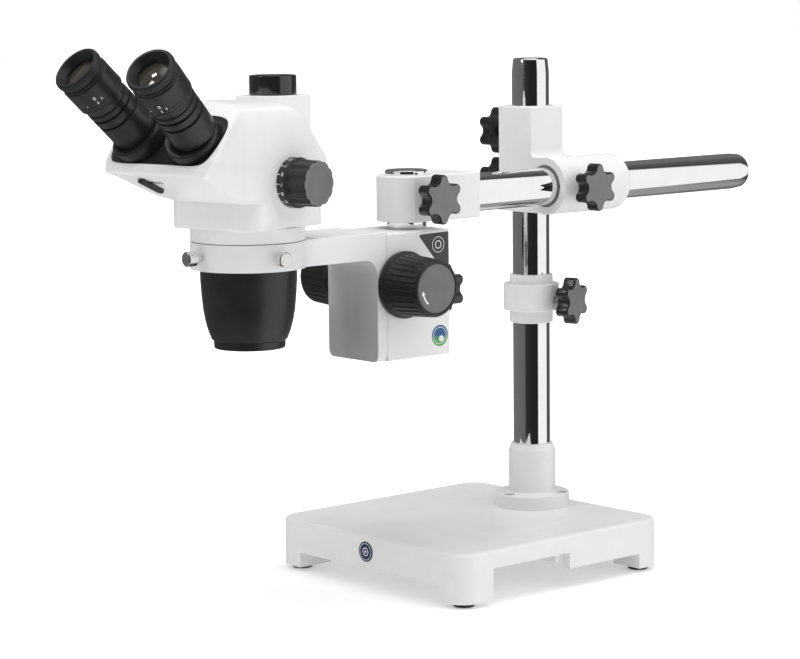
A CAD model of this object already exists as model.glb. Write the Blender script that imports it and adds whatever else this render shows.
# A binocular zoom microscope on a boom stand.
# Sizes are millimetres in the CAD frame: the column stands on the z axis, the floor is z = 0,
# the boom runs along y at x = 38, and the front of the stand faces -y.
# The head has its own frame, turned 10.8 degrees about its vertical axis, with z still up;
# its front (the eyepieces) faces local -y. Lights, floor and camera are given in metres.
import bpy
import numpy as np
from math import acos, atan2, cos, degrees, pi, radians, sin, sqrt, tan
from mathutils import Matrix, Vector


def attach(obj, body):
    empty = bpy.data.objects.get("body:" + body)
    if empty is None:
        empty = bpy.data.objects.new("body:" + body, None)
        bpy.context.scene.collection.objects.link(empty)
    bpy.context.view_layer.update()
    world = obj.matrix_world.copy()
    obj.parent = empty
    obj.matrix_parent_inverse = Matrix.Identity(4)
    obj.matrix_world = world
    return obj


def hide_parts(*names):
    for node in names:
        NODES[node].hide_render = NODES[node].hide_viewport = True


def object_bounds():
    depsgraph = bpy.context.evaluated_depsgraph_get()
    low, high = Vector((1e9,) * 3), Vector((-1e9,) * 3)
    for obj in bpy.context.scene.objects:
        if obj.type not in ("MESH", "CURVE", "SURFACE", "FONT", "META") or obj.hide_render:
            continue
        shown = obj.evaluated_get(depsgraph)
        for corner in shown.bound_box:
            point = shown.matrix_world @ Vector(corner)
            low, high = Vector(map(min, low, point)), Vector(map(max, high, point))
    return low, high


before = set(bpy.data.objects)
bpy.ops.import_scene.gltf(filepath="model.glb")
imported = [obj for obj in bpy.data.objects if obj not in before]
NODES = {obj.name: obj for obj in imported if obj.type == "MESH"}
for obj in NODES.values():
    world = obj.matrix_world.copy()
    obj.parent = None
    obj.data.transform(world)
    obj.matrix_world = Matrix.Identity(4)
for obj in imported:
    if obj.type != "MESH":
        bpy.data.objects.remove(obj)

LO0, HI0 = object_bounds()
MM = 0.001
scene = bpy.context.scene

# ------------------------------------------------------------------ main places
# Column axis in the loaded frame, from the far corner of the CAD.
COLUMN_AT = (HI0[0] / MM - 118.516, HI0[1] / MM - 224.0, 0.0)
BOOM_X, BOOM_Z = 38.0, 327.6
POST_Y = -177.0
FOCUS_Y, FOCUS_Z = -209.3, 261.7      # focusing knob axis
FOCUS_KNOB_REACH = 31.0               # from the post axis to a knob's inner face
FOCUS_CAP_FACE = 40.45                # cap height above the knob's inner face
BLOCK_FACE_X = 68.5                   # right face of the focusing block
ZOOM_X, ZOOM_Z = 46.3, 351.2          # zoom knob seats, head frame
PORT_Y = 32.4                         # photo port axis, head frame
EYE_X, EYE_Y, EYE_Z = 36.7, -146.0, 441.7     # eyecup face centre, head frame
TILT, SPLAY = radians(42.0), radians(5.7)     # eyetube rise and outward turn
BARREL_R = 19.2                       # eyepiece barrel

WORLD = Matrix.Identity(4)
HEAD = Matrix.Translation(Vector((BOOM_X, -340.9, 0))) @ Matrix.Rotation(radians(10.8), 4, 'Z')
PORT = HEAD @ Matrix.Translation(Vector((0, PORT_Y, 0)))
EYES = ((-1, "left"), (1, "right"))


def axes(origin, z, x):
    """Frame at origin, in mm: local z along z, local x as near x as it can be."""
    z = Vector(z).normalized()
    x = Vector(x)
    x = (x - z * x.dot(z)).normalized()
    y = z.cross(x)
    place = Matrix.Identity(4)
    for i in range(3):
        place[i] = x[i], y[i], z[i], origin[i]
    return place


def eye_place(side, out=0.0, rise=0.0):
    """Eyetube frame: z runs down the tube from the eyecup face, x outward."""
    to_eye = Vector((side * sin(SPLAY), -cos(SPLAY) * cos(TILT), cos(SPLAY) * sin(TILT)))
    outward = Vector((0, 0, 1)).cross(to_eye).normalized() * side
    upward = to_eye.cross(outward) * side
    centre = Vector((side * EYE_X, EYE_Y, EYE_Z)) + outward * out + upward * rise
    return HEAD @ axes(centre, -to_eye, outward)


def flange_place(side):
    """Tube frame shifted 3.2 mm inward and down, for the flange and its hole in the mask."""
    shift, angle = -3.2, radians(50)
    return eye_place(side, shift * cos(angle), shift * sin(angle))


ZOOM_PLACES = {side: HEAD @ axes((sign * ZOOM_X, 0, ZOOM_Z), (sign, 0, 0), (0, -1, 0))
               for side, sign in (("right", 1), ("left", -1))}


# ------------------------------------------------------------------ materials
def feed(tree, node, inputs):
    """Set each input to a value, or link it when given a socket."""
    for socket, value in inputs.items():
        if isinstance(value, bpy.types.NodeSocket):
            tree.links.new(value, node.inputs[socket])
        else:
            node.inputs[socket].default_value = value


def add_node(tree, kind, inputs=None, **settings):
    node = tree.nodes.new("ShaderNode" + kind)
    for key, value in settings.items():
        setattr(node, key, value)
    feed(tree, node, inputs or {})
    return node


def new_material(name):
    material = bpy.data.materials.new(name)
    material.use_nodes = True
    return material, material.node_tree, material.node_tree.nodes["Principled BSDF"]


def coords(tree, scale=(1, 1, 1)):
    source = add_node(tree, "TexCoord")
    mapping = add_node(tree, "Mapping", {"Scale": scale, "Vector": source.outputs["Object"]})
    return mapping.outputs["Vector"]


def noise(tree, vector, scale, detail):
    node = add_node(tree, "TexNoise", {"Scale": scale, "Detail": detail, "Roughness": 0.55,
                                       "Vector": vector})
    return node.outputs["Fac"]


def spread(tree, value, low, high):
    """Stretch the middle of a noise (0.3 to 0.7) over low to high."""
    node = add_node(tree, "MapRange", {"From Min": 0.3, "From Max": 0.7, "To Min": low,
                                       "To Max": high, "Value": value})
    return node.outputs["Result"]


def mix_colour(tree, factor, first, second):
    node = add_node(tree, "Mix", {"A": (*first, 1), "B": (*second, 1), "Factor": factor},
                    data_type='RGBA')
    return node.outputs["Result"]


def surface(name, tint, rough, metal=0.0, spec=0.5, coat=0.0, coat_rough=0.1, grain=900,
            bump=0.06, depth=0.00006, stretch=(1, 1, 1)):
    """Mottled finish between two tints and two roughnesses, with a fine grain of bumps."""
    material, tree, shader = new_material(name)
    mottle = noise(tree, coords(tree), scale=60, detail=3)
    fine = noise(tree, coords(tree, stretch), scale=grain, detail=2)
    feed(tree, shader, {
        "Base Color": mix_colour(tree, spread(tree, mottle, 0, 1), *tint),
        "Roughness": add_node(tree, "Math", {0: spread(tree, mottle, *rough),
                                             1: spread(tree, fine, -0.02, 0.02)},
                              operation='ADD').outputs[0],
        "Metallic": metal,
        "Specular IOR Level": spec,
        "Coat Weight": coat,
        "Coat Roughness": coat_rough,
        "Normal": add_node(tree, "Bump", {"Strength": bump, "Distance": depth,
                                          "Height": fine}).outputs["Normal"]})
    return material


def coated_glass():
    material, tree, shader = new_material("coated_glass")
    smear = noise(tree, coords(tree), scale=40, detail=2)
    facing = add_node(tree, "LayerWeight", {"Blend": 0.35}).outputs["Facing"]
    feed(tree, shader, {
        "Base Color": mix_colour(tree, facing, (0.030, 0.026, 0.020), (0.060, 0.052, 0.042)),
        "Roughness": spread(tree, smear, 0.02, 0.05),
        "Coat Weight": 1.0,
        "Coat Roughness": 0.02,
        "Coat Tint": (1.0, 0.98, 0.95, 1),
        "Specular IOR Level": 0.8,
        "IOR": 1.6})
    return material


def round_label():
    """Green below and blue above, with a soft ragged band between."""
    material, tree, shader = new_material("round_label")
    place = coords(tree)
    height = add_node(tree, "SeparateXYZ", {0: place}).outputs["Y"]
    ragged = add_node(tree, "Math", {0: noise(tree, place, scale=260, detail=3), 1: 0.004,
                                     2: height}, operation='MULTIPLY_ADD')
    band = add_node(tree, "MapRange", {"From Min": -0.004, "From Max": 0.0,
                                       "Value": ragged.outputs[0]})
    feed(tree, shader, {
        "Base Color": mix_colour(tree, band.outputs["Result"],
                                 (0.10, 0.34, 0.10), (0.02, 0.10, 0.24)),
        "Roughness": 0.35})
    return material


MAT = {
    "white_base": surface("white_powder_coat", tint=((0.80, 0.80, 0.805), (0.775, 0.775, 0.78)),
                          rough=(0.42, 0.50), grain=1500, bump=0.25, depth=0.00005),
    "white_alloy": surface("white_satin_paint", tint=((0.80, 0.80, 0.805), (0.78, 0.78, 0.785)),
                           rough=(0.36, 0.43), grain=1400, bump=0.18, depth=0.00004),
    "white_shell": surface("white_moulded_shell", tint=((0.83, 0.83, 0.84), (0.81, 0.81, 0.82)),
                           rough=(0.30, 0.36), coat=0.15, coat_rough=0.2, grain=1600, bump=0.12,
                           depth=0.00003),
    "chrome_bar": surface("hard_chrome", tint=((0.92, 0.92, 0.925), (0.88, 0.88, 0.885)),
                          rough=(0.035, 0.06), metal=1.0, grain=700, bump=0.03, depth=0.00001,
                          stretch=(1, 1, 0.03)),
    "steel": surface("machined_steel", tint=((0.52, 0.52, 0.53), (0.45, 0.45, 0.46)),
                     rough=(0.25, 0.33), metal=1.0, grain=800, bump=0.10, depth=0.00003),
    "silver": surface("nickel_plate", tint=((0.80, 0.79, 0.77), (0.72, 0.71, 0.69)),
                      rough=(0.16, 0.24), metal=1.0, bump=0.08, depth=0.00002),
    "brass": surface("machined_brass", tint=((0.70, 0.50, 0.20), (0.62, 0.43, 0.16)),
                     rough=(0.25, 0.33), metal=1.0, grain=800, bump=0.10, depth=0.00003),
    "grey_nylon": surface("grey_nylon", tint=((0.30, 0.30, 0.31), (0.25, 0.25, 0.26)),
                          rough=(0.5, 0.6), grain=1000),
    "black_rubber": surface("black_rubber", tint=((0.018, 0.018, 0.019), (0.026, 0.026, 0.027)),
                            rough=(0.55, 0.68), grain=1200, bump=0.3, depth=0.00005),
    "cup_rubber": surface("eyecup_rubber", tint=((0.014, 0.014, 0.015), (0.020, 0.020, 0.021)),
                          rough=(0.40, 0.50), grain=1200, bump=0.2, depth=0.00004),
    "black_alloy": surface("black_satin_alloy",
                           tint=((0.012, 0.012, 0.013), (0.017, 0.017, 0.018)),
                           rough=(0.34, 0.42), spec=0.6, grain=1500, bump=0.15, depth=0.00003),
    "black_plastic": surface("black_satin_plastic",
                             tint=((0.013, 0.013, 0.014), (0.020, 0.020, 0.021)),
                             rough=(0.38, 0.46), grain=1400, bump=0.2, depth=0.00004),
    "black_gloss": surface("black_gloss", tint=((0.010, 0.010, 0.011), (0.014, 0.014, 0.015)),
                           rough=(0.12, 0.18), spec=0.6, coat=0.4, coat_rough=0.06, bump=0.04),
    "knob_side": surface("phenolic_gloss", tint=((0.010, 0.010, 0.012), (0.015, 0.015, 0.017)),
                         rough=(0.20, 0.28), coat=0.3, coat_rough=0.12),
    "knob_face": surface("phenolic_face", tint=((0.17, 0.17, 0.178), (0.145, 0.145, 0.152)),
                         rough=(0.42, 0.50), grain=1500, bump=0.25, depth=0.00005),
    "grey_plastic": surface("dark_grey_cap", tint=((0.150, 0.150, 0.156), (0.130, 0.130, 0.136)),
                            rough=(0.40, 0.48), grain=1500, bump=0.2, depth=0.00004),
    "mask_black": surface("mask_black", tint=((0.012, 0.012, 0.014), (0.018, 0.018, 0.020)),
                          rough=(0.40, 0.48), grain=1600, bump=0.3, depth=0.00005),
    "print_white": surface("white_print", tint=((0.82, 0.82, 0.82), (0.74, 0.74, 0.74)),
                           rough=(0.5, 0.6)),
    "navy": surface("navy_enamel", tint=((0.012, 0.030, 0.085), (0.016, 0.038, 0.10)),
                    rough=(0.22, 0.30), coat=0.4),
    "sticker_grey": surface("grey_label", tint=((0.035, 0.038, 0.042), (0.045, 0.048, 0.052)),
                            rough=(0.40, 0.50)),
    "groove": surface("shadow_line", tint=((0.10, 0.10, 0.105), (0.08, 0.08, 0.085)),
                      rough=(0.6, 0.7)),
    "glass": coated_glass(),
    "globe": round_label(),
}


# ------------------------------------------------------------------ outlines
def twice_area(points):
    """Signed: positive for a counter-clockwise outline."""
    n = len(points)
    return sum(points[i][0] * points[(i + 1) % n][1] - points[(i + 1) % n][0] * points[i][1]
               for i in range(n))


def heading(point, centre):
    return atan2(point.y - centre.y, point.x - centre.x)


def arc(centre, r, start, sweep, steps, count):
    """The first count points of an arc cut into steps."""
    angles = [start + sweep * k / steps for k in range(count)]
    return [(centre.x + r * cos(a), centre.y + r * sin(a)) for a in angles]


def round_corner(before, corner, after, r, steps):
    tip = Vector(corner)
    to_before, to_after = Vector(before) - tip, Vector(after) - tip
    length_1, length_2 = to_before.length, to_after.length
    if length_1 < 1e-6 or length_2 < 1e-6 or r <= 0:
        return [corner]
    to_before.normalize()
    to_after.normalize()
    angle = acos(max(-1.0, min(1.0, to_before.dot(to_after))))
    if angle > radians(172) or angle < radians(3):
        return [corner]
    setback = r / tan(angle / 2)
    limit = min(length_1, length_2) * 0.45
    if setback > limit:
        setback = limit
        r = setback * tan(angle / 2)
    centre = tip + (to_before + to_after).normalized() * (r / sin(angle / 2))
    start = heading(tip + to_before * setback, centre)
    end = heading(tip + to_after * setback, centre)
    sweep = (end - start + pi) % (2 * pi) - pi
    return arc(centre, r, start, sweep, steps, steps + 1)


def rounded(points, r=0.3, steps=4):
    """Closed outline with rounded corners; a point may carry its own radius as a third value.
    Points on the axis (first value 0) stay sharp."""
    out = []
    for i, point in enumerate(points):
        if abs(point[0]) < 1e-6:
            out.append((point[0], point[1]))
            continue
        own_r = point[2] if len(point) > 2 else r
        after = points[(i + 1) % len(points)]
        out += round_corner(points[i - 1][:2], point[:2], after[:2], own_r, steps)
    return out


def rounded_rect(width, height, r, cx, cy, steps=12):
    out = []
    for sx, sy, start in ((1, 1, 0), (-1, 1, 90), (-1, -1, 180), (1, -1, 270)):
        for k in range(steps + 1):
            a = radians(start + 90 * k / steps)
            out.append((cx + sx * (width / 2 - r) + r * cos(a),
                        cy + sy * (height / 2 - r) + r * sin(a)))
    return out


def offset_smooth(points, distance):
    """Move a smooth counter-clockwise outline inward along its vertex normals."""
    p = np.array(points, float)
    tangent = np.roll(p, -1, 0) - np.roll(p, 1, 0)
    tangent /= np.linalg.norm(tangent, axis=1)[:, None]
    return p + np.stack([-tangent[:, 1], tangent[:, 0]], 1) * distance


def inset(points, distance):
    """Move every edge of a polygon inward, with mitred corners."""
    n = len(points)
    sign = 1 if twice_area(points) > 0 else -1
    out = []
    for i in range(n):
        p0, p1, p2 = points[i - 1], points[i], points[(i + 1) % n]
        normals = []
        for a, b in ((p0, p1), (p1, p2)):
            ex, ey = b[0] - a[0], b[1] - a[1]
            length = sqrt(ex ** 2 + ey ** 2)
            normals.append((-ey / length * sign, ex / length * sign))
        n1, n2 = normals
        k = 1 + n1[0] * n2[0] + n1[1] * n2[1]
        out.append((p1[0] + (n1[0] + n2[0]) / k * distance,
                    p1[1] + (n1[1] + n2[1]) / k * distance))
    return out


def cut_corners(points, passes=3):
    """Smooth a closed outline by cutting each corner at the quarter points."""
    p = [Vector(q) for q in points]
    for _ in range(passes):
        cut = []
        for i, a in enumerate(p):
            b = p[(i + 1) % len(p)]
            cut += [a * 0.75 + b * 0.25, a * 0.25 + b * 0.75]
        p = cut
    return [(v.x, v.y) for v in p]


# ------------------------------------------------------------------ meshes
def shade(mesh, angle):
    """Smooth shading, with edges sharper than the angle left hard."""
    mesh.polygons.foreach_set("use_smooth", np.ones(len(mesh.polygons), bool))
    mesh.set_sharp_from_angle(angle=radians(angle))


def adopt(obj, body):
    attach(obj, body)


def mesh_obj(name, verts, faces, place, material, body=None, slot=None, angle=35,
             second=None, where=None):
    """Object from verts in mm in the frame place. Faces whose centre passes the test where
    take the second material."""
    mesh = bpy.data.meshes.new(name)
    mesh.from_pydata([(v[0] * MM, v[1] * MM, v[2] * MM) for v in verts], [],
                     [tuple(f) for f in faces])
    mesh.validate()
    mesh.materials.append(MAT[material])
    if second:
        mesh.materials.append(MAT[second])
        points = np.array(verts)
        picks = [1 if where(*points[list(f)].mean(0)) else 0 for f in faces]
        mesh.polygons.foreach_set("material_index", np.array(picks, np.int32))
    shade(mesh, angle)
    obj = bpy.data.objects.new(name, mesh)
    scene.collection.objects.link(obj)
    world = place.copy()
    for i in range(3):
        world[i][3] = (world[i][3] + COLUMN_AT[i]) * MM
    obj.matrix_world = world
    if body:
        adopt(obj, body)
    return obj


def lathe_mesh(profile, seg, shape=None):
    """Closed (r, z) profile turned about z; shape(theta, r, z) gives the radius if present."""
    verts, faces, rows = [], [], []
    for r, z in profile:
        if abs(r) < 1e-6:
            rows.append([len(verts)] * seg)
            verts.append((0, 0, z))
            continue
        rows.append(list(range(len(verts), len(verts) + seg)))
        for k in range(seg):
            theta = 2 * pi * k / seg
            radius = shape(theta, r, z) if shape else r
            verts.append((radius * cos(theta), radius * sin(theta), z))
    outward = twice_area(profile) > 0
    for i, a in enumerate(rows):
        b = rows[(i + 1) % len(rows)]
        if a[0] == a[-1] and b[0] == b[-1]:
            continue
        for k in range(seg):
            k2 = (k + 1) % seg
            face = list(dict.fromkeys([a[k], a[k2], b[k2], b[k]]))
            if len(face) >= 3:
                faces.append(face if outward else face[::-1])
    return verts, faces


def lathe(name, profile, place, material, body=None, slot=None, seg=144, shape=None, r=0.3,
          steps=4, **finish):
    verts, faces = lathe_mesh(rounded(profile, r, steps), seg, shape)
    return mesh_obj(name, verts, faces, place, material, body, slot, **finish)


def round_prism(name, outline, z0, z1, r0, r1, place, material, body=None, slot=None,
                steps=(5, 5), **finish):
    """Outline pushed from z0 to z1, with lower and upper rims rounded to r0 and r1."""
    rings = []

    def ring(distance, z):
        points = offset_smooth(outline, distance)
        rings.append(np.c_[points, np.full(len(points), z)])
    for k in range(steps[0] + 1):
        a = pi / 2 * k / steps[0]
        ring(r0 * (1 - sin(a)), z0 + r0 * (1 - cos(a)))
    for k in range(steps[1] + 1):
        a = pi / 2 * k / steps[1]
        ring(r1 * (1 - cos(a)), z1 - r1 * (1 - sin(a)))
    m = len(outline)
    verts = [tuple(q) for points in rings for q in points]
    faces = []
    for i in range(len(rings) - 1):
        for k in range(m):
            k2 = (k + 1) % m
            faces.append([i * m + k, i * m + k2, (i + 1) * m + k2, (i + 1) * m + k])
    faces.append(list(range(m))[::-1])
    faces.append([(len(rings) - 1) * m + k for k in range(m)])
    return mesh_obj(name, verts, faces, place, material, body, slot, **finish)


def prism_faces(points):
    """Faces of a prism whose verts are the lower outline, then the upper one."""
    n = len(points)
    faces = [list(range(n))[::-1], list(range(n, 2 * n))]
    faces += [[k, (k + 1) % n, n + (k + 1) % n, n + k] for k in range(n)]
    return faces if twice_area(points) >= 0 else [f[::-1] for f in faces]


def boolean(target, tool, operation='DIFFERENCE'):
    """Apply the tool to the target's mesh and delete the tool."""
    def evaluated():
        bpy.context.view_layer.update()
        depsgraph = bpy.context.evaluated_depsgraph_get()
        return bpy.data.meshes.new_from_object(target.evaluated_get(depsgraph))
    modifier = target.modifiers.new("b", 'BOOLEAN')
    modifier.object = tool
    modifier.operation = operation
    try:
        modifier.solver = 'MANIFOLD'
    except TypeError:       # guards builds that don't offer the Manifold solver
        modifier.solver = 'EXACT'
    mesh = evaluated()
    if len(mesh.polygons) < 8 and modifier.solver != 'EXACT':
        modifier.solver = 'EXACT'
        mesh = evaluated()
    target.modifiers.remove(modifier)
    old = target.data
    target.data = mesh
    bpy.data.meshes.remove(old)
    tool_mesh = tool.data
    bpy.data.objects.remove(tool)
    bpy.data.meshes.remove(tool_mesh)


def tool_lathe(profile, place, seg=96):
    return mesh_obj("tmp", *lathe_mesh(profile, seg), place, "white_shell")


def tool_cylinder(place, r, z0, z1, seg=96):
    return tool_lathe([(0, z0), (r, z0), (r, z1), (0, z1)], place, seg)


def tool_box(x_range, y_range, z_range, place):
    verts = [(x, y, z) for z in z_range for y in y_range for x in x_range]
    faces = [(0, 2, 3, 1), (4, 5, 7, 6), (0, 1, 5, 4), (2, 6, 7, 3), (0, 4, 6, 2), (1, 3, 7, 5)]
    return mesh_obj("tmp", verts, faces, place, "white_shell")


def tool_prism(points, z0, z1, place):
    verts = [(x, y, z) for z in (z0, z1) for x, y in points]
    return mesh_obj("tmp", verts, prism_faces(points), place, "white_shell")


# ------------------------------------------------------------------ finishes of the CAD pieces
FINISHES = {
    "white_base": "base_casting",
    "white_alloy": "column_socket collar_ring cross_clamp arm_end_clamp focus_block head_carrier",
    "black_rubber": "rubber_feet",
    "steel": "foot_screws socket_screws column_bolt slide_rail focus_shaft guide_rods "
             "zoom_pinion_shafts",
    "silver": "ring_screw_front ring_screw_side",
    "grey_nylon": "column_bush arm_bush",
    "brass": "focus_rack focus_pinion shaft_bushes slide_gibs",
    "black_alloy": "mounting_spigot objective_housing optical_frame zoom_carrier_upper "
                   "zoom_carrier_lower",
    "black_gloss": "photo_port",
    "mask_black": "eyetube_mask",
    "black_plastic": "light_path_lever",
    "chrome_bar": "swivel_post column_tube boom_arm",
}
FINISH_OF = {node: finish for finish, names in FINISHES.items() for node in names.split()}
GLASS_WORDS = ("lens", "prism", "splitter")
for node_name, obj in NODES.items():
    optical = any(word in node_name for word in GLASS_WORDS)
    finish = FINISH_OF.get(node_name, "glass" if optical else "black_plastic")
    obj.data.materials.clear()
    obj.data.materials.append(MAT[finish])

# Bevel width of each softened piece.
BEVELS = {"column_socket": 0.5, "collar_ring": 0.4, "ring_screw_front": 0.3,
          "ring_screw_side": 0.3, "light_path_lever": 0.4, "socket_screws": 0.15}


def soften_edges(obj, width):
    weld = obj.modifiers.new("weld", 'WELD')
    weld.merge_threshold = 0.00002
    bevel = obj.modifiers.new("bevel", 'BEVEL')
    bevel.width = width * MM
    bevel.segments = 3
    bevel.limit_method = 'ANGLE'
    bevel.angle_limit = radians(32)
    bevel.harden_normals = False
    bevel.miter_outer = 'MITER_ARC'
    normals = obj.modifiers.new("wn", 'WEIGHTED_NORMAL')
    normals.keep_sharp = False
    normals.weight = 80
    obj.data.polygons.foreach_set("use_smooth", np.ones(len(obj.data.polygons), bool))


for node_name, width in BEVELS.items():
    soften_edges(NODES[node_name], width)

# ------------------------------------------------------------------ chromed bars
# Profiles of turned pieces, here and below, are (radius, height[, corner radius]).
COLUMN_PROFILE = [(5.03, 45), (16, 45), (16, 422.8, 6), (15, 433.6, 0.6), (13.6, 435, 0.4),
                  (0, 435), (0, 422), (12, 422), (12, 66), (5.03, 66)]
BOOM_PROFILE = [(0, 0), (16, 0), (16, 357, 6), (15, 367.7, 0.6), (13.6, 369, 0.4),
                (0, 369), (0, 354), (13, 354), (13, 24), (0, 24)]
POST_PROFILE = [(9, 222), (15, 222), (16, 223), (16, 346.55), (17.5, 346.55),
                (17.5, 349.7, 0.3), (16.6, 350.5, 0.4), (0, 351.2), (0, 325), (9, 325)]
for name, profile, place, body, node_name in (
        ("column_bar", COLUMN_PROFILE, WORLD, "stand", "column_tube"),
        ("boom_bar", BOOM_PROFILE, axes((BOOM_X, -145, BOOM_Z), (0, 1, 0), (1, 0, 0)),
         "boom", "boom_arm"),
        ("post_bar", POST_PROFILE, Matrix.Translation(Vector((BOOM_X, POST_Y, 0))),
         "focus_mount", "swivel_post")):
    obj = lathe(name, profile, place, "chrome_bar", body, "chrome_bar", seg=192, r=0.25)
    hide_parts(node_name)


# ------------------------------------------------------------------ star knobs
LOBES = 6
LOBE_R, LOBE_CIRCLE = 4.4, 15.6          # lobe radius, and the circle of lobe centres
HOLLOW_R, HOLLOW_CIRCLE = 5.65, 19.85    # the same for the hollows between lobes
STAR_REACH = 34.0                        # from the clamped bar's axis to the grip
STAR_HEIGHT = 12.0


def star_outline():
    def polar(r, angle):
        return Vector((r * cos(angle), r * sin(angle)))
    out = []
    for k in range(LOBES):
        angle = radians(60 * k)
        lobe = polar(LOBE_CIRCLE, angle)
        next_lobe = polar(LOBE_CIRCLE, angle + pi / 3)
        hollow_before = polar(HOLLOW_CIRCLE, radians(60 * k - 30))
        hollow = polar(HOLLOW_CIRCLE, radians(60 * k + 30))
        touch_before = lobe + (hollow_before - lobe).normalized() * LOBE_R
        touch = lobe + (hollow - lobe).normalized() * LOBE_R
        touch_next = next_lobe + (hollow - next_lobe).normalized() * LOBE_R
        start = heading(touch_before, lobe)
        out += arc(lobe, LOBE_R, start, (heading(touch, lobe) - start) % (2 * pi), 14, 14)
        start = heading(touch, hollow)
        sweep = -((start - heading(touch_next, hollow)) % (2 * pi))
        out += arc(hollow, HOLLOW_R, start, sweep, 8, 8)
    return out


STAR = star_outline()


def star_knob(node_name, axis_point, direction, tip, body):
    """Lobed grip and threaded stud; tip is the stud end's distance from the bar axis."""
    direction = Vector(direction)
    place = axes(Vector(axis_point) + direction * STAR_REACH, direction, (0, 0, 1))
    end = tip - STAR_REACH
    grip = round_prism(node_name + "_grip", STAR, 0.0, STAR_HEIGHT, 1.1, 1.5, place,
                       "knob_side", body, "black_knob", steps=(5, 6), angle=50,
                       second="knob_face", where=lambda x, y, z: z > STAR_HEIGHT - 0.03)
    lathe(node_name + "_stud",
          [(0, end), (2.5, end), (3.0, tip - 33.5), (3.0, -4.0), (7.0, -4.0), (7.0, 0.6),
           (0, 0.6)],
          place, "steel", body, "black_knob", seg=64,
          second="knob_side", where=lambda x, y, z: x * x + y * y > 12 or z > -3.9)
    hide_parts(node_name)


COLLAR_TURN = radians(16.0)
# node, point on the clamped bar's axis, direction, stud tip, body
for knob in (
        ("collar_knob", (0, 0, 227.0), (cos(COLLAR_TURN), sin(COLLAR_TURN), 0), 16.1,
         "collar_clamp"),
        ("column_knob_upper", (0, 0, 371.5), (-1, 0, 0), 18.0, "column_clamp_upper"),
        ("column_knob_lower", (0, 0, 328.0), (-1, 0, 0), 18.0, "column_clamp_lower"),
        ("arm_knob", (BOOM_X, 0, BOOM_Z), (1, 0, 0), 18.0, "arm_clamp"),
        ("post_knob", (BOOM_X, POST_Y, 328.2), (1, 0, 0), 16.1, "post_clamp"),
        ("block_knob", (BOOM_X, POST_Y, 250.6), (0, 1, 0), 16.1, "block_clamp")):
    star_knob(*knob)

# ------------------------------------------------------------------ focusing knobs
FOCUS_GROOVES = 30
GROOVE_Z = (8.2, 38.6)                  # where the grooves start and end
GROOVE_HALF_WIDTH, GROOVE_DEPTH = 1.05, 0.95
GROOVE_FADE = 1.5                       # length over which each end runs out


def focus_shape(theta, r, z):
    if GROOVE_Z[0] < z < GROOVE_Z[1] and r > 20:
        turn = (theta * FOCUS_GROOVES / (2 * pi)) % 1.0
        # Distance from the groove centre, along a 24 mm radius.
        distance = min(turn, 1 - turn) * (2 * pi / FOCUS_GROOVES) * 24.0
        depth = max(0.0, 1 - (distance / GROOVE_HALF_WIDTH) ** 2)
        fade = min(1.0, (z - GROOVE_Z[0]) / GROOVE_FADE, (GROOVE_Z[1] - z) / GROOVE_FADE)
        return r - GROOVE_DEPTH * sqrt(depth) * max(0.0, fade)
    return r


FOCUS_PROFILE = (
    [(4.0, 0.0), (25.6, 0.0, 0.6), (27.0, 1.2, 0.8), (27.0, 4.6, 0.8), (26.0, 6.0, 0.5),
     (25.2, 6.4), (24.9, 8.0, 0.1)]
    + [(24.9 - 2.0 * k / 12, 8.0 + 31.0 * k / 12, 0.0) for k in range(1, 13)]
    + [(21.4, 41.0, 1.0), (19.8, 41.0, 0.3), (19.8, 38.4), (4.0, 38.4)])
for side, sign in (("right", 1), ("left", -1)):
    place = axes((BOOM_X + sign * FOCUS_KNOB_REACH, FOCUS_Y, FOCUS_Z), (sign, 0, 0), (0, -1, 0))
    grip = lathe("focus_grip_" + side, FOCUS_PROFILE, place, "black_plastic", "focus_drive",
                 "black_plastic", seg=480, shape=focus_shape, angle=50)
    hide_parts("focus_knob_" + side)
    cap = lathe("focus_cap_" + side,
                [(0, 38.45), (19.7, 38.45), (19.7, FOCUS_CAP_FACE, 0.6), (0, FOCUS_CAP_FACE)],
                place, "grey_plastic", "focus_drive", "grey_plastic")
    if side == "right":
        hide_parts("focus_knob_caps")

# ------------------------------------------------------------------ zoom knobs
FLUTE_PITCH, FLUTE_START = 30.0, 15.0   # degrees
FLUTE_CIRCLE, FLUTE_R = 19.9, 3.6
FLUTE_Z = 8.3                           # where the flutes start
FLUTE_FADE = 1.2


def zoom_shape(theta, r, z):
    if FLUTE_Z < z < 26.5 and r > 14:
        turn = ((degrees(theta) - FLUTE_START) / FLUTE_PITCH) % 1.0
        angle = radians(min(turn, 1 - turn) * FLUTE_PITCH)
        square = FLUTE_R ** 2 - (FLUTE_CIRCLE * sin(angle)) ** 2
        if square > 0:
            cut = FLUTE_CIRCLE * cos(angle) - sqrt(square)
            if cut < r:
                return r + (cut - r) * min(1.0, (z - FLUTE_Z) / FLUTE_FADE)
    return r


ZOOM_PROFILE = (
    [(3.0, -1.5), (19.3, -1.5, 0.3), (19.3, 7.0, 0.3), (18.0, 7.6, 0.2), (18.0, 8.2, 0.1),
     (17.9, 8.9, 0.1)]
    + [(17.9 - 0.4 * k / 8, 8.9 + 15.9 * k / 8, 0.0) for k in range(1, 9)]
    + [(17.4, 25.8, 0.3), (16.9, 26.1, 0.2), (3.0, 26.1)])
for side, place in ZOOM_PLACES.items():
    grip = lathe("zoom_grip_" + side, ZOOM_PROFILE, place, "black_plastic", "zoom_drive",
                 "black_plastic", seg=360, shape=zoom_shape, angle=50,
                 second="knob_face", where=lambda x, y, z: z > 25.9)
    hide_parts("zoom_knob_" + side)
    lathe("zoom_disc_" + side, [(0, 25.2), (14.6, 25.2), (14.6, 26.25, 0.2), (0, 26.25)],
          place, "grey_plastic", "zoom_drive", "black_plastic", seg=96)

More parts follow.
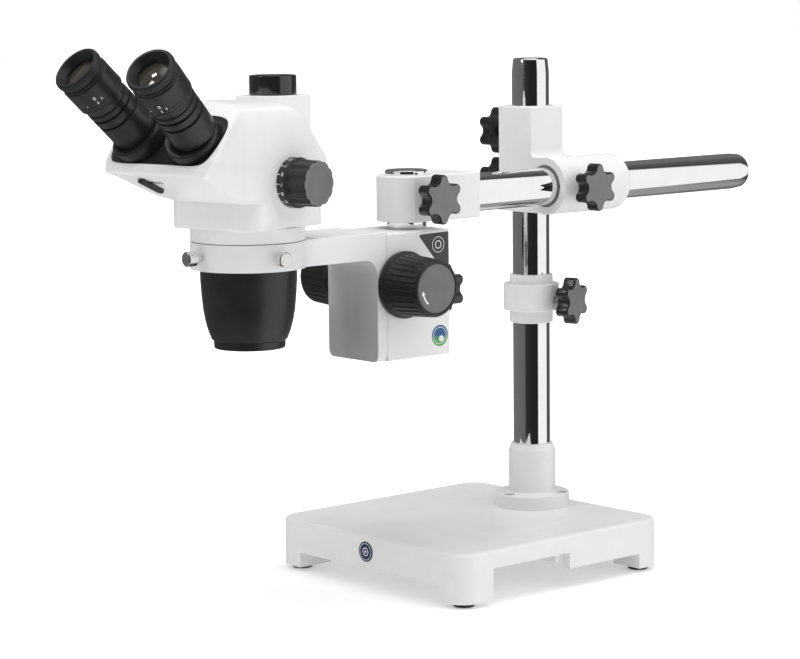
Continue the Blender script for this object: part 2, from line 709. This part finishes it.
# ------------------------------------------------------------------ photo port
PORT_PROFILE = [(14.0, 390.5), (14.0, 415.55), (18.45, 415.55, 0.5), (18.45, 430.4, 0.7),
                (17.6, 431.0, 0.4), (15.6, 431.0, 0.3), (14.9, 430.2), (12.0, 427.0),
                (12.0, 392.3), (7.0, 392.3), (7.0, 390.5)]
port = lathe("photo_port_ring", PORT_PROFILE, PORT, "black_gloss", "head", "black_alloy",
             seg=160)
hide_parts("photo_port")

# ------------------------------------------------------------------ objective housing
OBJECTIVE_PROFILE = [
    (37.5, 283.6), (37.6, 280.0, 2), (37.5, 274.0, 2), (36.7, 262.0, 4), (35.6, 251.0, 4),
    (34.2, 243.0, 4), (32.2, 235.5, 4), (29.5, 228.4, 1), (27.9, 227.4, 0.4), (27.7, 222.0, 0.5),
    (27.2, 221.5, 0.3), (24.6, 221.5), (24.6, 226.5), (26.6, 229.5), (29.5, 236.4),
    (31.5, 243.6), (32.9, 251.5), (33.9, 262.3), (33.8, 276.0), (31.5, 279.0), (31.5, 291.4),
    (33.95, 291.4), (33.95, 283.6)]
cover = lathe("objective_cover", OBJECTIVE_PROFILE, HEAD, "black_alloy", "head", "black_alloy",
              seg=192)
# Disc inside the cover with a round hole each side of the middle.
cell = lathe("objective_cell", [(0, 229.9), (27.2, 229.9), (29.3, 234.9), (0, 234.9)], HEAD,
             "black_alloy", "head", "black_alloy", seg=96)
for sign, _ in EYES:
    hole = HEAD @ Matrix.Translation(Vector((sign * 12.0, 0, 0)))
    boolean(cell, tool_cylinder(hole, 9.53, 225, 240, 64))
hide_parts("objective_housing")

# ------------------------------------------------------------------ eyetubes and eyepieces
# Heights run down the tube from the eyecup face.
TUBE_PROFILE = [
    (17.9, 37.0, 0.4), (17.9, 41.0, 0.2), (16.3, 41.0, 0.1), (16.3, 43.3, 0.1), (17.9, 43.3, 0.2),
    (17.9, 49.0, 0.2), (16.3, 49.0, 0.1), (16.3, 51.4, 0.1), (17.9, 51.4, 0.2), (17.9, 84.4),
    (12.0, 84.4), (12.0, 66.0), (15.03, 66.0), (15.03, 37.0)]
FLANGE_PROFILE = [(12.5, 72.5), (20.6, 72.5, 0.4), (21.6, 73.6, 0.8), (21.6, 84.2, 0.2),
                  (12.5, 84.2)]
GROOVE_R = 18.95
BARREL_PROFILE = [
    (15.0, 64.0), (15.0, 36.9), (17.1, 36.9), (17.1, 31.6), (18.7, 31.2, 0.2),
    (BARREL_R, 30.2, 0.5), (BARREL_R, 28.6, 0.1), (GROOVE_R, 28.5, 0.05), (GROOVE_R, 28.1, 0.05),
    (BARREL_R, 28.0, 0.1), (BARREL_R, 25.6, 0.1), (GROOVE_R, 25.5, 0.05), (GROOVE_R, 25.1, 0.05),
    (BARREL_R, 25.0, 0.1), (BARREL_R, 10.4, 0.3), (18.6, 9.6, 0.2), (15.6, 9.6), (15.6, 12.0),
    (12.0, 12.0), (12.0, 64.0)]
EYECUP_PROFILE = [
    (15.55, 11.9), (15.55, 9.5), (18.4, 9.5), (18.4, 8.3, 0.3), (17.3, 7.6, 0.3), (17.3, 6.3, 0.3),
    (18.9, 5.4, 0.5), (19.35, 3.4, 0.8), (19.1, 0.8, 0.8), (18.0, -0.7, 0.6), (16.3, -0.5, 0.5),
    (14.3, 2.4, 0.8), (12.75, 5.2, 0.6), (12.6, 11.9)]
# Eye lens: a dome 2.2 mm high on a 12.5 mm radius.
LENS_PROFILE = ([(12.5 * k / 12, 7.2 - 2.2 * (1 - (k / 12) ** 2), 0.0) for k in range(13)]
                + [(12.5, 11.8, 0.2), (0, 11.9)])

for sign, side in EYES:
    place = eye_place(sign)
    eyepiece = side + "_eyepiece"
    tube = lathe("tube_" + side, TUBE_PROFILE[::-1], place, "black_alloy", side + "_tube",
                 "black_alloy", seg=160)
    flange = lathe("tube_flange_" + side, FLANGE_PROFILE[::-1], flange_place(sign),
                   "black_alloy", seg=160)
    boolean(flange, tool_cylinder(place, 17.85, 60, 90, 160))
    adopt(flange, side + "_tube")
    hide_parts("eyetube_" + side)
    barrel = lathe("eyepiece_barrel_" + side, BARREL_PROFILE[::-1], place, "black_alloy",
                   eyepiece, "black_alloy", seg=160)
    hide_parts("eyepiece_" + side)
    cup = lathe("eyecup_rubber_" + side, EYECUP_PROFILE[::-1], place, "cup_rubber",
                eyepiece, "black_rubber", seg=160, steps=6)
    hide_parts("eyecup_" + side)
    lens = lathe("eye_glass_" + side, LENS_PROFILE[::-1], place, "glass", eyepiece, "glass",
                 seg=128, r=0.0)
    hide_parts("eye_lens_" + side)


# ------------------------------------------------------------------ head casing form
def with_mirror(half):
    return half + [(-x, y) for x, y in half[::-1]]


# Outlines of the head in its own frame: (y, z), (x, z) and (x, y).
SIDE_VIEW = [(46, 314), (46, 366), (14, 405.5), (4, 412), (-8, 414.6), (-30, 415.5),
             (-52, 415.5), (-62, 413.5), (-67.5, 410), (-105.6, 367.7), (-105.8, 362.1),
             (-49.4, 337.9), (-47.4, 335.5), (-46, 331), (-46, 314)]
FRONT_VIEW = with_mirror([(46, 314), (46, 338), (47.5, 346), (50, 362), (54, 372), (54.5, 385),
                          (52.5, 397), (46.5, 408.0), (30, 413.3), (12, 415.5)])
PLAN_VIEW = with_mirror([(46.2, 46), (46.2, 0), (46.8, -30), (48.6, -55), (52, -74),
                         (54.5, -88), (54.5, -112)])
SIDE_R, FRONT_R, PLAN_R = 2.5, 3.0, 6.0       # corner radii of the three views
SIDE_CORE, FRONT_CORE = inset(SIDE_VIEW, SIDE_R), inset(FRONT_VIEW, FRONT_R)
PLAN_CORE = inset(PLAN_VIEW, PLAN_R)

# The sloping mask plane round the eyetubes: normal, up direction in the plane, centre.
MASK_NORMAL = Vector((0, -cos(TILT), sin(TILT)))
MASK_UP = Vector((0, sin(TILT), cos(TILT)))
MASK_CENTRE = Vector((0, EYE_Y, EYE_Z)) - MASK_NORMAL * 81.5
MASK_POINTS = [(-48.5, -20), (-42, -25.4), (-14, -24.8), (14, -24.8), (42, -25.4), (48.5, -20),
               (51, -8), (52, 8), (49, 17), (42, 21.5), (28, 23), (-28, 23), (-42, 21.5),
               (-49, 17), (-52, 8), (-51, -8)]
MASK_OUTLINE = cut_corners(MASK_POINTS)
MASK_PLACE = HEAD @ axes(MASK_CENTRE, MASK_NORMAL, (1, 0, 0))
RIM_WIDTH, RIM_R = 2.6, 6.0                   # shell left round the mask, and its rounding
RIM_CORE = inset(inset(MASK_POINTS, -RIM_WIDTH), RIM_R)
FORM_CENTRE = np.array([0.0, -22.0, 362.0])   # inside point the casing is projected from


def polygon_distance(points, polygon):
    """Signed distance of each point to a polygon, negative inside."""
    polygon = np.array(polygon, float)
    square = np.full(len(points), 1e18)
    sign = np.ones(len(points))
    for i in range(len(polygon)):
        a, b = polygon[i - 1], polygon[i]
        edge = b - a
        offset = points - a
        along = np.clip((offset @ edge) / (edge @ edge), 0, 1)
        gap = offset - along[:, None] * edge
        square = np.minimum(square, (gap * gap).sum(1))
        above_a = points[:, 1] >= a[1]
        below_b = points[:, 1] < b[1]
        left = edge[0] * offset[:, 1] > edge[1] * offset[:, 0]
        flip = (above_a & below_b & left) | (~above_a & ~below_b & ~left)
        sign = np.where(flip, -sign, sign)
    return sign * np.sqrt(square)


def smooth_max(a, b, width):
    blend = np.maximum(width - np.abs(a - b), 0) / width
    return np.maximum(a, b) + blend * blend * width * 0.25


def form(points):
    """Field of the solid casing, negative inside."""
    x, y, z = points[:, 0], points[:, 1], points[:, 2]
    side = polygon_distance(points[:, 1:3], SIDE_CORE) - SIDE_R
    front = polygon_distance(points[:, [0, 2]], FRONT_CORE) - FRONT_R
    plan = polygon_distance(points[:, 0:2], PLAN_CORE) - PLAN_R
    relative = points - np.array(MASK_CENTRE)
    depth = -(relative @ np.array(MASK_NORMAL))       # below the mask plane
    # Edges are crisp at the mask and softer away from it.
    blend = np.clip(1.2 + 0.5 * depth, 1.2, 7.0)
    field = smooth_max(side, front, blend)
    field = smooth_max(field, plan, np.minimum(blend, 6.0))
    # Rounded square neck, 26 + 20 mm half width, flaring with height.
    rise = np.maximum(0, z - 337.2)
    over_x = np.abs(x) - 26.0 - 1.3 * rise
    over_y = np.where(y < 0, -y - 26.0 - 3.1 * rise, y - 26.0 - 1.3 * rise)
    neck = (np.hypot(np.maximum(over_x, 0), np.maximum(over_y, 0))
            + np.minimum(np.maximum(over_x, over_y), 0) - 20.0)
    field = smooth_max(field, neck, 1.2)
    # Rim round the mask, widening with depth.
    on_mask = np.stack([x, relative @ np.array(MASK_UP)], 1)
    rim = polygon_distance(on_mask, RIM_CORE) - RIM_R - 2.4 * np.maximum(0, depth + 0.8)
    field = smooth_max(field, rim, 1.6)
    # Flat top, 2 mm above the mask plane.
    return smooth_max(field, -depth - 2.0, 2.0)


def cube_sphere(n):
    """Closed quad grid over a cube: directions and faces."""
    known, verts, faces = {}, [], []

    def vert_id(point):
        key = tuple(np.round(point, 6))
        if key not in known:
            known[key] = len(verts)
            verts.append(point)
        return known[key]
    grid = np.tan(np.linspace(-pi / 4, pi / 4, n + 1))
    for axis in range(3):
        for sign in (-1, 1):
            ids = np.zeros((n + 1, n + 1), int)
            for i in range(n + 1):
                for j in range(n + 1):
                    point = [0, 0, 0]
                    point[axis] = sign
                    point[(axis + 1) % 3] = grid[i]
                    point[(axis + 2) % 3] = grid[j]
                    ids[i, j] = vert_id(point)
            for i in range(n):
                for j in range(n):
                    face = [ids[i, j], ids[i + 1, j], ids[i + 1, j + 1], ids[i, j + 1]]
                    faces.append(face if sign > 0 else face[::-1])
    return np.array(verts, float), faces


def project(n, level):
    """Grid pushed out from the form's centre to where the field reaches level."""
    rays, faces = cube_sphere(n)
    rays = rays * np.array((54.0, 84.0, 54.0))
    rays /= np.linalg.norm(rays, axis=1)[:, None]
    low, high = np.zeros(len(rays)), np.full(len(rays), 140.0)
    for _ in range(24):
        middle = (low + high) / 2
        outside = form(FORM_CENTRE + rays * middle[:, None]) > level
        high = np.where(outside, middle, high)
        low = np.where(outside, low, middle)
    return FORM_CENTRE + rays * ((low + high) / 2)[:, None], faces


# ------------------------------------------------------------------ head casing
WALL = 3.0
MASK_RECESS = 3.3
casing = mesh_obj("casing", *project(130, 0.0), HEAD, "white_shell")
cavity = mesh_obj("tmp_cav", *project(40, -WALL), HEAD, "white_shell")

# Square platform under the photo port, trimmed to a (y, z) outline.
PLATFORM_TRIM = [(5, 396), (5, 420), (60, 420), (60, 406.8), (54.4, 393), (45.9, 372), (38, 372),
                 (10.4, 396)]
platform = round_prism("tmp_plat", rounded_rect(44, 44, 5, 0, PORT_Y), 360, 415.5, 0.9, 0.9,
                       HEAD, "white_shell")
trim_place = HEAD @ axes((0, 0, 0), (1, 0, 0), (0, 1, 0))
boolean(platform, tool_prism(PLATFORM_TRIM, -30, 30, trim_place), 'INTERSECT')
neck_profile = rounded([(0, 305.3), (44.5, 305.3, 0.5), (44.5, 316.0), (0, 316.0)], 0.1)
neck_ring = tool_lathe(neck_profile, HEAD, 192)
boolean(casing, platform, 'UNION')
boolean(casing, neck_ring, 'UNION')

ZOOM_BOSS = [(0, -6), (27.0, -6), (25.0, -2.0), (21.5, -0.75), (19.0, -0.1), (0, -0.1)]
for place in ZOOM_PLACES.values():
    boolean(casing, tool_lathe(ZOOM_BOSS, place, 128), 'UNION')

# Hollow, then the openings: neck, port, mask recess, eyetubes, zoom shafts, lever slot.
boolean(casing, cavity)
boolean(casing, tool_cylinder(HEAD, 35.0, 303, 320, 128))
boolean(casing, tool_cylinder(PORT, 14.05, 378, 430, 128))
boolean(casing, tool_prism(MASK_OUTLINE, -MASK_RECESS, 34, MASK_PLACE))
for sign, _ in EYES:
    boolean(casing, tool_cylinder(eye_place(sign), 18.6, 70, 92, 96))
for place in ZOOM_PLACES.values():
    boolean(casing, tool_cylinder(place, 3.08, -22, 6, 48))
# Lever frame on the sloping underside: z points down and out, x to the head's +x.
underside = Vector((0, -56.4, 24.2)).normalized()
LEVER_PLACE = HEAD @ axes((0, -88.0, 354.5), (0, -underside.z, underside.y), (1, 0, 0))
boolean(casing, tool_box((-24, -6), (-2.6, 2.6), (-9, 9), LEVER_PLACE))


def casing_half(side, x_range):
    """One side of the casing, with the floor of the mask recess in black."""
    half = casing.copy()
    half.data = casing.data.copy()
    scene.collection.objects.link(half)
    half.name = "casing_half_" + side
    boolean(half, tool_box(x_range, (-200, 100), (280, 460), HEAD), 'INTERSECT')
    half.data.materials.clear()
    half.data.materials.append(MAT["white_shell"])
    half.data.materials.append(MAT["mask_black"])
    for face in half.data.polygons:
        height = (face.center / MM - MASK_CENTRE).dot(MASK_NORMAL)
        on_floor = -MASK_RECESS - 0.06 < height < -MASK_RECESS + 0.06
        if on_floor and face.normal.dot(MASK_NORMAL) > 0.98:
            face.material_index = 1
    shade(half.data, 34)
    adopt(half, "head")
    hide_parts("head_casing_" + side)


HALF_GAP = 0.06     # each half stops this far from the middle
casing_half("left", (-90, -HALF_GAP))
casing_half("right", (HALF_GAP, 90))
bpy.data.objects.remove(casing)

# Sliding lever with a stem through the slot
SLIDER_X = -21.0
slider = round_prism("path_slider", rounded_rect(7.0, 27.0, 3.4, SLIDER_X, -3.5), 0.3, 3.2,
                     0.9, 0.9, LEVER_PLACE, "black_plastic")
boolean(slider, tool_box((SLIDER_X - 2, SLIDER_X + 2), (-2.2, 2.2), (-7.0, 1.5), LEVER_PLACE),
        'UNION')
shade(slider.data, 34)
adopt(slider, "path_lever")
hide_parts("light_path_lever")

# Black mask round the eyetubes, 0.15 mm clear of its recess
mask = round_prism("tube_mask", offset_smooth(MASK_OUTLINE, 0.15), -3.05, -0.05, 0.05, 0.7,
                   MASK_PLACE, "mask_black")
for sign, _ in EYES:
    boolean(mask, tool_cylinder(flange_place(sign), 21.85, 60, 95, 160))
shade(mask.data, 30)
adopt(mask, "head")
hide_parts("eyetube_mask")


# ------------------------------------------------------------------ printed marks
INK, LABEL = 0.03, 0.05     # thickness of print and of labels
BADGE_HEIGHT = 0.7


def raised(base):
    """Place (a, b) on a plane at height base."""
    return lambda a, b, h: (a, b, h + base)


def on_cylinder(r):
    """Place (arc length, z) on a cylinder."""
    return lambda a, b, h: ((r + h) * cos(a / r), (r + h) * sin(a / r), b)


def patch(points, spot, lift=INK):
    """Thin plate over an outline; spot(a, b, h) puts it on the surface, h above it."""
    verts = [spot(a, b, h) for h in (0.0, lift) for a, b in points]
    return verts, prism_faces(points)


def marks(name, patches, body, place, material="print_white", slot="white_alloy"):
    """Join patches into one object."""
    all_verts, all_faces = [], []
    for verts, faces in patches:
        start = len(all_verts)
        all_verts += verts
        all_faces += [[i + start for i in f] for f in faces]
    mesh_obj(name, all_verts, all_faces, place, material, body, slot)


def disc(cx, cy, r, n=64):
    return [(cx + r * cos(2 * pi * k / n), cy + r * sin(2 * pi * k / n)) for k in range(n)]


def rect(cx, cy, w, h):
    return [(cx - w / 2, cy - h / 2), (cx + w / 2, cy - h / 2),
            (cx + w / 2, cy + h / 2), (cx - w / 2, cy + h / 2)]


def arc_band(cx, cy, r, width, start, end, n=24):
    """Band along an arc, angles in degrees."""
    def edge(radius):
        angles = [radians(start + (end - start) * k / n) for k in range(n + 1)]
        return [(cx + radius * cos(a), cy + radius * sin(a)) for a in angles]
    return edge(r + width / 2) + edge(r - width / 2)[::-1]


def ring(cx, cy, r, width, spot):
    """Full ring in three bands."""
    return [patch(arc_band(cx, cy, r, width, 360 * k / 3, 360 * (k + 1) / 3), spot)
            for k in range(3)]


# Round nameplate on the front of the base: two rings and a dot
badge_place = axes((0, -192.5, 31.1), (0, -1, 0), (1, 0, 0))
lathe("base_badge", [(0, 0.0), (8.5, 0.0), (8.5, BADGE_HEIGHT, 0.35), (0, BADGE_HEIGHT)],
      badge_place, "navy", "stand", "grey_plastic", seg=96)
on_badge = raised(BADGE_HEIGHT)
marks("base_badge_print",
      ring(0, 0, 6.9, 0.45, on_badge) + ring(0, 0, 3.2, 0.8, on_badge)
      + [patch(disc(0, 0, 1.1, 32), on_badge)], "stand", badge_place)

# Labels on the block's right face: local x to the rear, y up
flat, on_label = raised(0.0), raised(LABEL)
DARK_LABEL = [(-1.0, 50.2), (31.6, 51.0), (31.9, 14.0), (30.6, 13.0)]
label_place = axes((BLOCK_FACE_X, -191.0, 250.0), (1, 0, 0), (0, 1, 0))
marks("block_label_dark", [patch(rounded(DARK_LABEL, 1.2), flat, LABEL)], "focus_mount",
      label_place, "sticker_grey", "grey_plastic")
marks("block_label_print",
      ring(20.5, 41.0, 6.2, 0.55, on_label) + ring(20.5, 41.0, 3.0, 0.9, on_label),
      "focus_mount", label_place)
round_place = axes((BLOCK_FACE_X, -169.5, 219.5), (1, 0, 0), (0, 1, 0))
marks("block_label_round", [patch(disc(0, -2.6, 8.7), flat, LABEL)], "focus_mount",
      round_place, "globe", "grey_plastic")
marks("block_label_round_print",
      ring(0, -2.6, 6.8, 0.5, on_label) + [patch(disc(1.6, -5.2, 2.6, 40), on_label)],
      "focus_mount", round_place)


def cap_arrow():
    """Curved arrow on the right focusing cap."""
    place = (axes((BOOM_X + FOCUS_KNOB_REACH, FOCUS_Y, FOCUS_Z), (1, 0, 0), (0, 1, 0))
             @ Matrix.Translation(Vector((0, 0, FOCUS_CAP_FACE))))
    r, start, end = 14.6, 196, 232
    angle = radians(start)
    base = Vector((r * cos(angle), r * sin(angle)))
    forward = Vector((sin(angle), -cos(angle)))
    outward = Vector((cos(angle), sin(angle)))
    head = [tuple(base + outward * 2.0 - forward * 0.2), tuple(base + forward * 3.0),
            tuple(base - outward * 2.0 - forward * 0.2)]
    marks("cap_arrow", [patch(arc_band(0, 0, r, 1.5, start, end, 16), flat), patch(head, flat)],
          "focus_drive", place)


cap_arrow()

# Strokes of each numeral: a top, b and c right, d bottom, e and f left, g middle
GLYPHS = {"0": "abcdef", "1": "bc", "2": "abged", "3": "abgcd", "4": "fgbc", "5": "afgcd",
          "6": "afgedc", "7": "abc", "8": "abcdefg", "9": "abfgcd"}


def numeral(char, w, h, t):
    """Numeral centred on the origin, as rectangles t thick."""
    strokes = {"a": rect(0, h / 2, w + t, t), "g": rect(0, 0, w + t, t),
               "d": rect(0, -h / 2, w + t, t),
               "f": rect(-w / 2, h / 4, t, h / 2), "b": rect(w / 2, h / 4, t, h / 2),
               "e": rect(-w / 2, -h / 4, t, h / 2), "c": rect(w / 2, -h / 4, t, h / 2)}
    return [strokes[key] for key in GLYPHS[char]]


ZOOM_SCALE = "7891234512345678"
ZOOM_SCALE_R, ZOOM_SCALE_Z = 19.3, 0.2


def zoom_scale(side, place):
    """A tick and a numeral, read along the axis, at each of 16 steps round the knob."""
    spot = on_cylinder(ZOOM_SCALE_R)
    items = []
    for i, char in enumerate(ZOOM_SCALE):
        a = radians(22.5 * i) * ZOOM_SCALE_R
        items.append(patch(rect(a, ZOOM_SCALE_Z + 1.1, 0.65, 2.2), spot))
        for stroke in numeral(char, w=1.25, h=2.3, t=0.42):
            turned = [(a + y, ZOOM_SCALE_Z + 4.3 + x) for x, y in stroke]
            items.append(patch(turned[::-1], spot))
    marks("zoom_scale_" + side, items, "zoom_drive", place)


for side, place in ZOOM_PLACES.items():
    zoom_scale(side, place)


def dioptre_marks(sign, side, angle, z):
    """Two ticks, a nought and a dot on the eyepiece barrel."""
    spot = on_cylinder(BARREL_R)

    def at(turn):
        return radians(angle + turn) * BARREL_R
    items = [patch(rect(at(0.0), z + 4.6, 0.6, 2.4), spot),
             patch(rect(at(-13.0), z + 3.4, 0.6, 2.2), spot)]
    for stroke in numeral("0", w=1.3, h=2.2, t=0.4):
        items.append(patch([(at(0.0) + x, z + y) for x, y in stroke], spot))
    items.append(patch(disc(at(28), z + 4.0, 0.45, 20), spot))
    marks("dioptre_marks_" + side, items, side + "_eyepiece", eye_place(sign))


dioptre_marks(-1, "left", angle=-137.0, z=19.0)
dioptre_marks(1, "right", angle=73.0, z=20.7)

# ------------------------------------------------------------------ floor and lights (metres)
FLOOR_GLOW = 0.27     # emission under the stand; the camera sees it rise to 1 further out
AMBIENT = 0.50        # world strength for diffuse light


def pale_floor():
    material, tree, shader = new_material("pale_floor")
    colour = (0.86, 0.86, 0.86)
    place = coords(tree)
    cloud = noise(tree, place, scale=3.0, detail=2)
    tint = mix_colour(tree, cloud, colour, tuple(c * 0.995 for c in colour))
    distance = add_node(tree, "VectorMath", {1: (0.0, -0.10, 0.0), 0: place},
                        operation='DISTANCE')
    # Extra glow seen by the camera, growing between these distances.
    extra = add_node(tree, "MapRange", {"From Min": 0.18, "From Max": 0.55, "To Min": 0.0,
                                        "To Max": 1.0 - FLOOR_GLOW,
                                        "Value": distance.outputs["Value"]},
                     interpolation_type='SMOOTHSTEP')
    seen = add_node(tree, "LightPath").outputs["Is Camera Ray"]
    glow = add_node(tree, "Math", {0: seen, 1: extra.outputs["Result"], 2: FLOOR_GLOW},
                    operation='MULTIPLY_ADD')
    feed(tree, shader, {"Base Color": tint, "Roughness": 0.6,
                        "Emission Color": (1, 1, 1, 1), "Emission Strength": glow.outputs[0]})
    return material


def stage_quad(name, corners, z, material, seen=True):
    """Staged quad that reflections don't show."""
    mesh = bpy.data.meshes.new(name)
    mesh.from_pydata(corners, [], [(0, 1, 2, 3)])
    obj = bpy.data.objects.new(name, mesh)
    scene.collection.objects.link(obj)
    obj.location = (COLUMN_AT[0] * MM, COLUMN_AT[1] * MM, z)
    mesh.materials.append(material)
    obj.visible_camera = seen
    obj.visible_glossy = False


def area_light(name, location, target, size, power, glossy):
    light = bpy.data.lights.new(name, 'AREA')
    light.shape = 'RECTANGLE'
    light.size, light.size_y = size
    light.energy = power
    obj = bpy.data.objects.new(name, light)
    scene.collection.objects.link(obj)
    obj.location = Vector(location) + Vector(COLUMN_AT) * MM
    obj.rotation_mode = 'QUATERNION'
    aim = Vector(target) - Vector(location)
    obj.rotation_quaternion = aim.to_track_quat('-Z', 'Y')
    obj.visible_glossy = glossy
    obj.visible_camera = False


stage_quad("floor", [(-12, -12, 0), (12, -12, 0), (12, 12, 0), (-12, 12, 0)], -0.0002,
           pale_floor())
area_light("key_top", location=(0.3, -0.2, 1.9), target=(0, -0.1, 0.2), size=(1.6, 1.6),
           power=24.0, glossy=False)
area_light("key_right", location=(1.9, 0.9, 0.9), target=(0, -0.1, 0.25), size=(1.4, 1.4),
           power=8.0, glossy=False)
area_light("front_lamp", location=(-0.35, -1.55, 1.15), target=(0.0, -0.2, 0.42),
           size=(0.22, 0.9), power=3.5, glossy=True)
# Unseen upright card near the head that holds back light
stage_quad("flag", [(-0.05, -0.285, 0.15), (0.115, -0.285, 0.15), (0.115, -0.285, 0.262),
                    (-0.05, -0.285, 0.262)], 0, MAT["black_rubber"], seen=False)
area_light("eye_window", location=(-0.383, -0.925, 1.445), target=(0.101, -0.477, 0.442),
           size=(0.16, 0.16), power=1.3, glossy=True)

# ------------------------------------------------------------------ world
# (degrees, grey) of the reflected room: round the horizon from +x, and by elevation
AZIMUTH_STOPS = [(-180, 0.16), (-100, 0.13), (-88, 0.12), (-80, 0.03), (-50, 0.02), (-4, 0.015),
                 (0, 0.98), (64, 0.98), (68, 0.06), (95, 0.10), (110, 0.16), (180, 0.16)]
ELEVATION_STOPS = [(-90, 0.32), (-38, 0.32), (-26, 0.0), (62, 0.0), (72, 0.85), (90, 0.85)]


def grey_ramp(tree, factor, stops):
    """Ramp over degrees; the stops run from -limit to +limit."""
    node = add_node(tree, "ValToRGB", {0: factor})
    limit = stops[-1][0]
    elements = node.color_ramp.elements
    while len(elements) > 1:
        elements.remove(elements[-1])
    for i, (angle, grey) in enumerate(stops):
        position = (angle + limit) / (2 * limit)
        element = elements.new(position) if i else elements[0]
        element.position = position
        element.color = (grey, grey, grey, 1)
    return node.outputs[0]


def build_world():
    """Even white for diffuse light, white to the camera, a dim room in reflections."""
    world = bpy.data.worlds.new("studio")
    scene.world = world
    world.use_nodes = True
    tree = world.node_tree
    tree.nodes.clear()

    def math(operation, *inputs):
        return add_node(tree, "Math", dict(enumerate(inputs)), operation=operation).outputs[0]

    def background(colour, strength):
        return add_node(tree, "Background", {"Color": colour, "Strength": strength}).outputs[0]

    def switch(test, off, on):
        return add_node(tree, "MixShader", {0: test, 1: off, 2: on}).outputs[0]
    output = add_node(tree, "OutputWorld")
    source = add_node(tree, "TexCoord")
    ray = add_node(tree, "SeparateXYZ", {0: source.outputs["Generated"]}).outputs
    azimuth = math('MULTIPLY_ADD', math('ARCTAN2', ray["Y"], ray["X"]), 1 / (2 * pi), 0.5)
    around = grey_ramp(tree, azimuth, AZIMUTH_STOPS)
    elevation = math('MULTIPLY_ADD', math('ARCSINE', ray["Z"]), 1 / pi, 0.5)
    height = grey_ramp(tree, elevation, ELEVATION_STOPS)
    room = add_node(tree, "Mix", {"Factor": 1.0, "A": around, "B": height},
                    data_type='RGBA', blend_type='LIGHTEN')
    path = add_node(tree, "LightPath").outputs
    reflected = background(room.outputs["Result"], 1.0)
    diffuse = background((1, 1, 1, 1), AMBIENT)
    seen = background((1, 1, 1, 1), 1.0)
    unseen = switch(path["Is Glossy Ray"], diffuse, reflected)
    feed(tree, output, {0: switch(path["Is Camera Ray"], unseen, seen)})


build_world()
scene.view_settings.view_transform = 'Standard'
scene.view_settings.look = 'None'
scene.view_settings.exposure = 0.0

# ------------------------------------------------------------------ camera (metres)
CAMERA_AT = (1.6799, -1.6265, 0.5067)
CAMERA_BACK = Vector((0.74525, -0.65401, 0.12993))
CAMERA_RIGHT = Vector((0.65960, 0.75162, 0.0))
CAMERA_UP = Vector((-0.09766, 0.08570, 0.99153))
CAMERA_ROLL = radians(-0.6043)


def build_camera():
    data = bpy.data.cameras.new("cam")
    camera = bpy.data.objects.new("cam", data)
    scene.collection.objects.link(camera)
    data.sensor_width = 36.0
    data.lens = 121.725
    data.clip_start, data.clip_end = 0.05, 60
    right = cos(CAMERA_ROLL) * CAMERA_RIGHT + sin(CAMERA_ROLL) * CAMERA_UP
    up = -sin(CAMERA_ROLL) * CAMERA_RIGHT + cos(CAMERA_ROLL) * CAMERA_UP
    world = Matrix.Identity(4)
    for i in range(3):
        world[i] = right[i], up[i], CAMERA_BACK[i], CAMERA_AT[i] + COLUMN_AT[i] * MM
    camera.matrix_world = world
    scene.camera = camera


build_camera()
